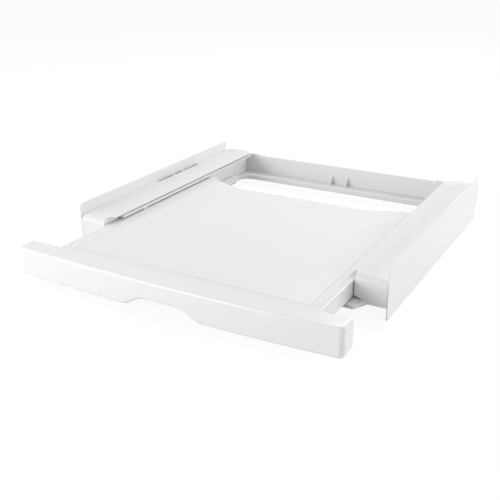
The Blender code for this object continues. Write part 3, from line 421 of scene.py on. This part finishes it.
def evaluated_mesh(item):
    """The mesh of an object with its modifiers applied, as new data."""
    bpy.context.view_layer.update()
    return bpy.data.meshes.new_from_object(item.evaluated_get(bpy.context.evaluated_depsgraph_get()))


def combined(base, tools):
    """One mesh from a base and (operation, mesh) tools, joined or cut by exact Booleans in order."""
    collection = bpy.context.scene.collection
    item = bpy.data.objects.new("base", base)
    collection.objects.link(item)
    others = []
    for operation, mesh in tools:
        other = bpy.data.objects.new("tool", mesh)
        collection.objects.link(other)
        others.append(other)
        boolean = item.modifiers.new(operation.title(), "BOOLEAN")
        boolean.operation = operation
        boolean.solver = "EXACT"
        boolean.object = other
    made = evaluated_mesh(item)
    for used in (item, *others):
        bpy.data.objects.remove(used, do_unlink=True)
    return made


def place_piece(name, mesh, slot, body, nodes, bevel=0):
    """Puts a finished piece in the scene with the finish of its slot, soft shading and its body, and hides the
    imported nodes it stands for.
    """
    mesh.name = name
    mesh.materials.clear()
    mesh.materials.append(finish_of(slot))
    item = bpy.data.objects.new(name, mesh)
    bpy.context.scene.collection.objects.link(item)
    if bevel:
        rounded = item.modifiers.new("Edges", "BEVEL")
        rounded.width = bevel
        rounded.segments = BEVEL_SEGMENTS
        rounded.limit_method = "ANGLE"
        rounded.angle_limit = SHARP_ANGLE
        rounded.use_clamp_overlap = True
        rounded.harden_normals = False
        item.data = evaluated_mesh(item)
        item.modifiers.clear()
    item.data.shade_smooth()
    item.data.set_sharp_from_angle(angle=SHARP_ANGLE)
    weighted = item.modifiers.new("Weighted normals", "WEIGHTED_NORMAL")
    weighted.keep_sharp = True
    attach(item, body)
    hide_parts(*nodes)


def filleted(corners):
    """Closed outline from (a, b, radius) corners.

    A corner of radius r has its arc round the point that lies r / sin(half angle) from it on its bisector.
    """
    pieces = []
    for index, (a, b, radius) in enumerate(corners):
        here = np.array((a, b))
        if radius == 0:
            pieces.append(here[None])
            continue
        before = np.array(corners[index - 1][:2]) - here
        after = np.array(corners[(index + 1) % len(corners)][:2]) - here
        before = before / np.linalg.norm(before)
        after = after / np.linalg.norm(after)
        half = math.acos(np.clip(before @ after, -1, 1)) / 2
        bisector = (before + after) / np.linalg.norm(before + after)
        centre = here + bisector * radius / math.sin(half)
        start = here + before * radius / math.tan(half) - centre
        end = here + after * radius / math.tan(half) - centre
        first = math.atan2(start[1], start[0])
        turn = math.remainder(math.atan2(end[1], end[0]) - first, math.tau)
        angles = first + turn * np.linspace(0, 1, CORNER_STEPS + 1)
        pieces.append(centre + radius * np.stack([np.cos(angles), np.sin(angles)], -1))
    return np.concatenate(pieces)


def rectangle(a0, b0, a1, b1, radius):
    """Closed outline of the rectangle between two corners, each with a radius."""
    return filleted([(a0, b0, radius), (a1, b0, radius), (a1, b1, radius), (a0, b1, radius)])


def drawn_in(outline, distances):
    """An outline drawn in by each distance, as one row for each.

    A point moves by (n + m) / (1 + n.m), where n and m are the inward normals of its two edges.
    """
    following = np.roll(outline, -1, axis=0)
    edges = following - outline
    edges = edges / np.linalg.norm(edges, axis=1, keepdims=True)
    normals = np.stack([-edges[:, 1], edges[:, 0]], -1)
    area = np.sum(outline[:, 0] * following[:, 1] - following[:, 0] * outline[:, 1])
    normals = normals * np.sign(area)
    before = np.roll(normals, 1, axis=0)
    mitre = (normals + before) / (1 + np.sum(normals * before, axis=1, keepdims=True))
    return outline[None] + np.asarray(distances)[:, None, None] * mitre[None]


def at_heights(flat, heights):
    """Rows of flat points (a, b) with the height of each row as their third place."""
    return np.concatenate([flat, np.broadcast_to(heights[:, None, None], (*flat.shape[:2], 1))], -1)


def loft_faces(rings, points, start=0):
    """Quads between neighbouring closed rings of a grid, as rows of point indices."""
    ring, point = np.meshgrid(np.arange(rings - 1), np.arange(points), indexing="ij")
    after = (point + 1) % points
    near = ring * points
    far = near + points
    corners = [near + point, near + after, far + after, far + point]
    return (np.stack(corners, -1).reshape(-1, 4) + start).tolist()


def rounding(low, high, radius):
    """Insets and heights of a plate's rings: r (1 - sin a) and r (1 - cos a) from both faces, a in 0 to 90."""
    angles = np.linspace(0, math.pi / 2, EDGE_STEPS + 1)
    insets = radius * (1 - np.sin(angles))
    rise = radius * (1 - np.cos(angles))
    return np.concatenate([insets, insets[::-1]]), np.concatenate([low + rise, (high - rise)[::-1]])


def plate(outline, low, high, radius, axis="Z", holes=()):
    """A plate of a closed outline, with holes, whose edges have quarter circles of a radius.

    Its rings stand at the heights of rounding(), and each outline is drawn in by the inset of its ring.
    """
    insets, heights = rounding(low, high, radius)
    points = []
    faces = []
    caps = ([], [])
    start = 0
    for loop, sign in [(outline, 1)] + [(hole, -1) for hole in holes]:
        loop = np.asarray(loop, float)
        solid = at_heights(drawn_in(loop, sign * insets), heights)
        faces += loft_faces(len(heights), len(loop), start)
        caps[0].append((start, solid[0]))
        caps[1].append((start + (len(heights) - 1) * len(loop), solid[-1]))
        points.append(solid.reshape(-1, 3))
        start += solid.shape[0] * solid.shape[1]
    for cap in caps:
        places = np.concatenate([first + np.arange(len(ring)) for first, ring in cap])
        triangles = tessellate_polygon([ring.tolist() for _, ring in cap])
        faces += places[np.array(triangles)].tolist()
    points = np.concatenate(points)[:, AXIS_ORDER[axis]]
    return mesh_from("plate", points, faces)


def box_plate(low, high, radius, corner):
    """A low block between two corners of a box, with rounded edges and upright corners of a radius."""
    return plate(rectangle(low[0], low[1], high[0], high[1], corner), low[2], high[2], radius)


def bar(x, z, radius, front, back):
    """A round bar along Y: its outline is the circle of a radius round (x, z)."""
    angles = np.linspace(0, math.tau, BAR_STEPS, endpoint=False)
    circle = np.stack([x + radius * np.cos(angles), z + radius * np.sin(angles)], -1)
    return plate(circle, front, back, BAR_EDGE, axis="Y")


def soft_ramp(run, bend):
    """0 below -bend, the run itself above bend, and (run + bend)^2 / (4 bend) between them."""
    return np.where(run < -bend, 0, np.where(run > bend, run, (run + bend) ** 2 / (4 * bend)))


def grip_rise(x, sizes):
    """Height of the finger grip over x: the grip's height times soft_ramp(t) - soft_ramp(t - 1).

    t is 0 at the foot of the grip's flank and 1 at the flank's top.
    """
    flank = (sizes.grip_bottom - sizes.grip_top) / 2
    run = (sizes.grip_bottom / 2 - np.abs(x)) / flank
    return sizes.grip_height * (soft_ramp(run, GRIP_MOUTH_BEND) - soft_ramp(run - 1, GRIP_TOP_BEND))


def front_block(sizes, wall, overrun):
    """The shelf front's bowed block, drawn in by a wall, its back moved by an overrun.

    In plan its front is y = front + bow (x / span)^2 with a quarter circle at each end. Its rings follow
    rounding(), and the lower ones stand higher by the larger of the underside's tilt and grip_rise(x).
    """
    low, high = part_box("drawer_fascia")
    corner = sizes.front_corner - wall
    edge = sizes.front_edge - wall / 2
    span = high.x - sizes.front_corner
    bow_end = low.y + sizes.front_bow + wall
    back = high.y + overrun
    turn = np.linspace(math.pi / 2, 0, CORNER_STEPS, endpoint=False)
    arc_x = span + corner * np.sin(turn)
    arc_y = bow_end + corner * (1 - np.cos(turn))
    grip_reach = sizes.grip_bottom / 2 + GRIP_MARGIN
    bow_x = [np.linspace(-span, span, BOW_STEPS), np.linspace(-grip_reach, grip_reach, GRIP_STEPS)]
    bow_x = np.unique(np.round(np.concatenate(bow_x), PLACE_DIGITS))
    bow_y = bow_end - sizes.front_bow * (1 - (bow_x / span) ** 2)
    x = np.concatenate([-arc_x, bow_x, arc_x[::-1]])
    y = np.concatenate([arc_y, bow_y, arc_y[::-1]])
    count = len(x)
    outline = np.concatenate([np.stack([x, y], -1), np.stack([x[::-1], np.full(count, back)], -1)])
    insets, heights = rounding(low.z + wall, high.z - wall, edge)
    flat = drawn_in(outline, insets)
    flat[:, count:, 0] = flat[:, :count, 0][:, ::-1]
    flat[:, count:, 1] = back - (back - flat[:, count:, 1]) * BACK_EDGE_SHARE
    solid = at_heights(flat, heights)
    lower = solid[: EDGE_STEPS + 1]
    tilt = sizes.front_tilt * np.clip((lower[..., 1] - low.y - edge) / (high.y - low.y), 0, 1)
    lower[..., 2] += np.maximum(tilt, grip_rise(lower[..., 0], sizes))
    faces = loft_faces(len(heights), 2 * count)
    across = np.arange(count - 1)
    strip = np.stack([across, across + 1, 2 * count - 2 - across, 2 * count - 1 - across], -1)
    faces += strip.tolist() + (strip + (len(heights) - 1) * 2 * count).tolist()
    return mesh_from("front_block", solid, faces)


def swept_edge(half_width, front, tips):
    """Rear edge of the shelf from left to right.

    It is flat up to a share of the half width, and then y rises to the tips by s^2 (3 - 2 s), s from 0 to 1.
    """
    x = np.linspace(SWEEP_SHARE, 1, SWEEP_STEPS) * half_width
    s = np.linspace(0, 1, SWEEP_STEPS)
    y = front + (tips - front) * s**2 * (3 - 2 * s)
    return np.concatenate([np.stack([-x, y], -1)[::-1], np.stack([x, y], -1)])


def shelf_outline(low_x, high_x, front, edge):
    """Closed outline of the shelf: a straight front from low to high x, and a swept rear edge."""
    return np.concatenate([[(low_x, front)], [(high_x, front)], edge[::-1]])


def rear_edge_line():
    """Front line and tips of the shelf's swept rear edge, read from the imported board."""
    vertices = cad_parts["shelf_panel"].data.vertices
    places = np.empty(3 * len(vertices))
    vertices.foreach_get("co", places)
    y = places[1::3]
    return y[y > y.min() + REAR_ZONE].min(), y.max()


def rim_section(sizes, bottom, top):
    """Closed section of the tray's rim, with a bead and a groove: (distance from its outer face, height)."""
    wall = sizes.rim_wall
    foot = 3 * wall
    width = sizes.rim_width
    groove = sizes.bead_width
    groove_end = groove + sizes.groove_width
    groove_floor = top - sizes.groove_depth
    return filleted(
        [
            (0, bottom, RIM_CREASE),
            (0, top, RIM_SHOULDER),
            (groove, top, GROOVE_LIP),
            (groove + GROOVE_FLANK, groove_floor, RIM_CREASE),
            (groove_end - GROOVE_FLANK, groove_floor, RIM_CREASE),
            (groove_end, top, GROOVE_LIP),
            (width, top - sizes.rim_fall, RIM_INNER_EDGE),
            (width, bottom, RIM_CREASE),
            (width - wall, bottom, RIM_CREASE),
            (width - wall, top - wall, RIM_INSIDE),
            (wall, top - wall, RIM_INSIDE),
            (wall, bottom + wall, RIM_CREASE),
            (foot, bottom + wall, RIM_CREASE),
            (foot, bottom, RIM_CREASE),
        ]
    )


def tray_rim(sizes, low, high):
    """The tray's rim: its section carried along the left side, the front and the right side.

    Each point of the section keeps its distance along the sides. In front, a distance is stretched between the
    places of the bead, the groove and the board.
    """
    section = rim_section(sizes, low.z, high.z)
    inward, height = section[:, 0], section[:, 1]
    groove_end = sizes.bead_width + sizes.groove_width
    front_groove_end = sizes.front_groove + sizes.front_groove_width
    side_places = (0, BEAD_PLACE, sizes.bead_width, groove_end, sizes.rim_width)
    front_places = (0, BEAD_PLACE, sizes.front_groove, front_groove_end, sizes.front_rim)
    front = low.y + np.interp(inward, side_places, front_places)
    back = np.full(len(section), high.y)
    left, right = inward - high.x, high.x - inward
    path = ((left, back), (left, front), (right, front), (right, back))
    rings = np.stack([np.stack([x, y, height], -1) for x, y in path])
    count = len(section)
    last = (len(rings) - 1) * count
    faces = loft_faces(len(rings), count)
    faces += [list(range(count)), list(range(last, last + count))]
    return mesh_from("rim", rings, faces)


class OBJECT_OT_kit_steel_sides(bpy.types.Operator):
    """Build the two powder coated steel sides"""

    bl_idname = "object.kit_steel_sides"
    bl_label = "Steel sides"

    def execute(self, context):
        sizes = context.scene.stacking_kit_sizes
        for label in SIDES:
            node = f"side_panel_{label}"
            low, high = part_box(node)
            outline = filleted(
                [
                    (low.y, low.z, SHEET_LOWER_CORNER),
                    (high.y, low.z, SHEET_LOWER_CORNER),
                    (high.y, high.z, SHEET_REAR_CORNER),
                    (low.y, high.z, sizes.sheet_corner),
                ]
            )
            sheet = plate(outline, low.x, high.x, sizes.sheet_edge, axis="X")
            place_piece(f"steel_side_{label}", sheet, "powder_coated_steel", "frame", [node])
        return {"FINISHED"}


class OBJECT_OT_kit_frame_mouldings(bpy.types.Operator):
    """Build the side beams and the rear crossbar with softened edges"""

    bl_idname = "object.kit_frame_mouldings"
    bl_label = "Beams and crossbar"

    def execute(self, context):
        edge = context.scene.stacking_kit_sizes.moulding_edge
        for node in ("side_beam_left", "side_beam_right", "rear_crossbar"):
            place_piece(f"{node}_moulding", softened_copy(node), "white_moulding", "frame", [node], bevel=edge)
        return {"FINISHED"}


class OBJECT_OT_kit_guides(bpy.types.Operator):
    """Build the guides, glides and shoes that the shelf runs in"""

    bl_idname = "object.kit_guides"
    bl_label = "Guides and glides"

    def execute(self, context):
        edge = context.scene.stacking_kit_sizes.glide_edge
        for label in SIDES:
            guide = f"upper_guide_{label}"
            strip = softened_copy(guide)
            place_piece(f"guide_strip_{label}", strip, "glide_plastic", "frame", [guide], bevel=edge / 2)
            for node, name, body in (
                (f"lower_glide_{label}", f"glide_strip_{label}", "frame"),
                (f"rear_shoe_{label}", f"sliding_shoe_{label}", "drawer"),
            ):
                block = box_plate(*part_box(node), edge, GLIDE_CORNER)
                place_piece(name, block, "glide_plastic", body, [node])
        return {"FINISHED"}


class OBJECT_OT_kit_shelf_tray(bpy.types.Operator):
    """Build the moulded tray of the shelf, with its beaded rim, recess and rear wall"""

    bl_idname = "object.kit_shelf_tray"
    bl_label = "Shelf tray"

    def execute(self, context):
        sizes = context.scene.stacking_kit_sizes
        low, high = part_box("shelf_tray")
        rim = tray_rim(sizes, low, high)
        floor = high.z - sizes.recess_depth
        inner = high.x - sizes.rim_width + TRAY_LAP
        front_y = low.y + sizes.front_rim - TRAY_LAP
        edge_y, tip_y = np.array(rear_edge_line()) + BOARD_GAP
        edge = swept_edge(inner, edge_y, tip_y)
        window_x = inner - TRAY_LEDGE
        window_front = front_y + TRAY_LEDGE
        window_depth = edge_y - TRAY_LEDGE - window_front
        holes = []
        for start, end in WINDOW_SHARES:
            y0 = window_front + window_depth * start
            y1 = window_front + window_depth * end
            holes.append(rectangle(-window_x, y0, window_x, y1, WINDOW_CORNER))
        outline = shelf_outline(-inner, inner, front_y, edge)
        shelf = plate(outline, floor - sizes.rim_wall, floor, TRAY_ROUNDING, holes=holes)
        wall = np.concatenate([edge - (0, REAR_WALL), edge[::-1]])
        rear = plate(wall, low.z, floor - REAR_DROP, TRAY_ROUNDING)
        mesh = combined(rim, [("UNION", shelf), ("UNION", rear)])
        place_piece("shelf_tray_moulding", mesh, "white_gloss_plastic", "drawer", ["shelf_tray"])
        return {"FINISHED"}


class OBJECT_OT_kit_shelf_board(bpy.types.Operator):
    """Build the flat board that lies in the tray"""

    bl_idname = "object.kit_shelf_board"
    bl_label = "Shelf board"

    def execute(self, context):
        sizes = context.scene.stacking_kit_sizes
        low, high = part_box("shelf_panel")
        outline = shelf_outline(low.x, high.x, low.y, swept_edge(high.x, *rear_edge_line()))
        board = plate(outline, low.z, high.z, sizes.board_edge)
        place_piece("shelf_board", board, "white_board", "drawer", ["shelf_panel"])
        return {"FINISHED"}


class OBJECT_OT_kit_shelf_front(bpy.types.Operator):
    """Build the bowed front of the shelf with its finger grip"""

    bl_idname = "object.kit_shelf_front"
    bl_label = "Shelf front"

    def execute(self, context):
        sizes = context.scene.stacking_kit_sizes
        outer = front_block(sizes, 0, 0)
        hollow = front_block(sizes, sizes.front_wall, HOLLOW_OVERRUN)
        low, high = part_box("drawer_fascia")
        span = high.x - sizes.front_corner
        bosses = []
        holes = []
        for index in range(1, FRONT_SCREWS + 1):
            screw_low, screw_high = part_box(f"fascia_screw_{index}")
            x, _, z = (screw_low + screw_high) / 2
            front = low.y + sizes.front_bow * (x / span) ** 2 + sizes.front_wall / 2
            boss = bar(x, z, sizes.boss / 2, front, high.y)
            hole = bar(x, z, sizes.boss_hole / 2, high.y - BOSS_HOLE_DEPTH, high.y + BOSS_HOLE_OVERRUN)
            bosses.append(("UNION", boss))
            holes.append(("DIFFERENCE", hole))
        mesh = combined(outer, [("DIFFERENCE", hollow), *bosses, *holes])
        place_piece("shelf_front", mesh, "white_gloss_plastic", "drawer", ["drawer_fascia"])
        return {"FINISHED"}


class OBJECT_OT_kit_foot_pads(bpy.types.Operator):
    bl_idname = "object.kit_foot_pads"
    bl_label = "Foot pads"

    def execute(self, context):
        sizes = context.scene.stacking_kit_sizes
        for label in SIDES:
            for place in ("front", "rear"):
                node = f"foot_pad_{place}_{label}"
                pad = box_plate(*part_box(node), sizes.glide_edge, sizes.pad_corner)
                place_piece(f"foam_pad_{place}_{label}", pad, "foam_rubber", "frame", [node])
        return {"FINISHED"}


class OBJECT_OT_kit_fixings(bpy.types.Operator):
    """Finish the zinc plated screws and standoffs"""

    bl_idname = "object.kit_fixings"
    bl_label = "Screws and standoffs"

    def execute(self, context):
        for name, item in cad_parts.items():
            if "screw" in name or "standoff" in name:
                for slot in item.material_slots:
                    slot.material = finish_of("zinc_steel")
        return {"FINISHED"}


def background_rays(tree):
    """1 for rays that see the white background, straight or in a reflection, and 0 for those that light."""
    rays = add_node(tree, "ShaderNodeLightPath").outputs
    seen = {0: rays["Is Camera Ray"], 1: rays["Is Glossy Ray"]}
    straight = add_node(tree, "ShaderNodeMath", seen, operation="MAXIMUM")
    either = {0: straight.outputs[0], 1: rays["Is Transmission Ray"]}
    return add_node(tree, "ShaderNodeMath", either, operation="MAXIMUM").outputs[0]


def paper_floor(colours):
    """White seamless paper: matt."""
    material, tree = new_material("seamless_paper")
    paper = add_node(tree, "ShaderNodeBsdfDiffuse", {"Color": colours.floor}).outputs[0]
    dim = add_node(tree, "ShaderNodeBsdfDiffuse", {"Color": linear(PAPER_DIM)}).outputs[0]
    glow = add_node(tree, "ShaderNodeEmission", {"Color": linear(WHITE), "Strength": PAPER_GLOW}).outputs[0]
    seen = add_node(tree, "ShaderNodeAddShader", {0: dim, 1: glow}).outputs[0]
    mix = add_node(tree, "ShaderNodeMixShader", {0: background_rays(tree), 1: paper, 2: seen})
    add_node(tree, "ShaderNodeOutputMaterial", {"Surface": mix.outputs[0]})
    return material


def floor_sheet(colours):
    corners = np.array([(-1, -1, 0), (1, -1, 0), (1, 1, 0), (-1, 1, 0)]) * FLOOR_REACH - (0, 0, FLOOR_GAP)
    mesh = bpy.data.meshes.new("paper_floor")
    mesh.from_pydata(corners.tolist(), [], [(0, 1, 2, 3)])
    mesh.materials.append(paper_floor(colours))
    return bpy.data.objects.new("paper_floor", mesh)


def white_world(light):
    world = bpy.data.worlds.new("studio")
    world.use_nodes = True
    tree = world.node_tree
    tree.nodes.clear()
    strengths = {"Value": background_rays(tree), "To Min": light, "To Max": 1.0}
    strength = add_node(tree, "ShaderNodeMapRange", strengths).outputs["Result"]
    sky = add_node(tree, "ShaderNodeBackground", {"Color": linear(WHITE), "Strength": strength})
    add_node(tree, "ShaderNodeOutputWorld", {"Surface": sky.outputs[0]})
    return world


def softbox(name, place, aim, width, height, watts):
    """A rectangular area light that looks from a place at a point."""
    light = bpy.data.lights.new(name, "AREA")
    light.shape = "RECTANGLE"
    light.size = width
    light.size_y = height
    light.energy = watts
    item = bpy.data.objects.new(name, light)
    item.location = place
    item.rotation_euler = (Vector(aim) - Vector(place)).to_track_quat("-Z", "Y").to_euler()
    return item


def photo_camera(studio):
    """The camera at the photograph's angle: level, turned about Z, tipped down and then rolled."""
    data = bpy.data.cameras.new("photo_camera")
    data.sensor_width = SENSOR_WIDTH
    data.lens = studio.lens
    data.clip_start, data.clip_end = CAMERA_CLIP
    camera = bpy.data.objects.new("photo_camera", data)
    camera.location = CAMERA_PLACE
    turn = Euler((math.pi / 2 - studio.camera_dip, 0, studio.camera_turn)).to_matrix()
    camera.rotation_euler = (turn @ Euler((0, 0, studio.camera_roll)).to_matrix()).to_euler()
    return camera


class OBJECT_OT_kit_studio(bpy.types.Operator):
    """Set up the paper floor, the soft lights and the camera"""

    bl_idname = "object.kit_studio"
    bl_label = "Studio"

    def execute(self, context):
        scene = context.scene
        studio = scene.stacking_kit_studio
        floor = floor_sheet(scene.stacking_kit_colours)
        scene.collection.objects.link(floor)
        scene.world = white_world(studio.world_light)
        for name, setting in SOFTBOXES.items():
            scene.collection.objects.link(softbox(name, *setting, getattr(studio, name)))
        camera = photo_camera(studio)
        scene.collection.objects.link(camera)
        bpy.context.scene.camera = camera
        scene.view_settings.view_transform = "Standard"
        return {"FINISHED"}


OPERATORS = (
    OBJECT_OT_kit_steel_sides,
    OBJECT_OT_kit_frame_mouldings,
    OBJECT_OT_kit_guides,
    OBJECT_OT_kit_shelf_tray,
    OBJECT_OT_kit_shelf_board,
    OBJECT_OT_kit_shelf_front,
    OBJECT_OT_kit_foot_pads,
    OBJECT_OT_kit_fixings,
    OBJECT_OT_kit_studio,
)
GROUPS = {
    "stacking_kit_colours": StackingKitColours,
    "stacking_kit_sizes": StackingKitSizes,
    "stacking_kit_studio": StackingKitStudio,
}


class VIEW3D_PT_stacking_kit(bpy.types.Panel):
    bl_label = "Stacking kit"
    bl_idname = "VIEW3D_PT_stacking_kit"
    bl_space_type = "VIEW_3D"
    bl_region_type = "UI"
    bl_category = "Stacking kit"

    def draw(self, context):
        for step in OPERATORS:
            self.layout.operator(step.bl_idname)
        for group in GROUPS:
            values = getattr(context.scene, group)
            for name in values.bl_rna.properties.keys():
                if name not in ("rna_type", "name"):
                    self.layout.prop(values, name)


CLASSES = (*GROUPS.values(), *OPERATORS, VIEW3D_PT_stacking_kit)


def register():
    for kind in CLASSES:
        bpy.utils.register_class(kind)
    for name, group in GROUPS.items():
        setattr(bpy.types.Scene, name, PointerProperty(type=group))


def unregister():
    for name in GROUPS:
        delattr(bpy.types.Scene, name)
    for kind in reversed(CLASSES):
        bpy.utils.unregister_class(kind)


def main():
    register()
    for step in OPERATORS:
        group, name = step.bl_idname.split(".")
        getattr(getattr(bpy.ops, group), name)()


if __name__ == "__main__":
    main()
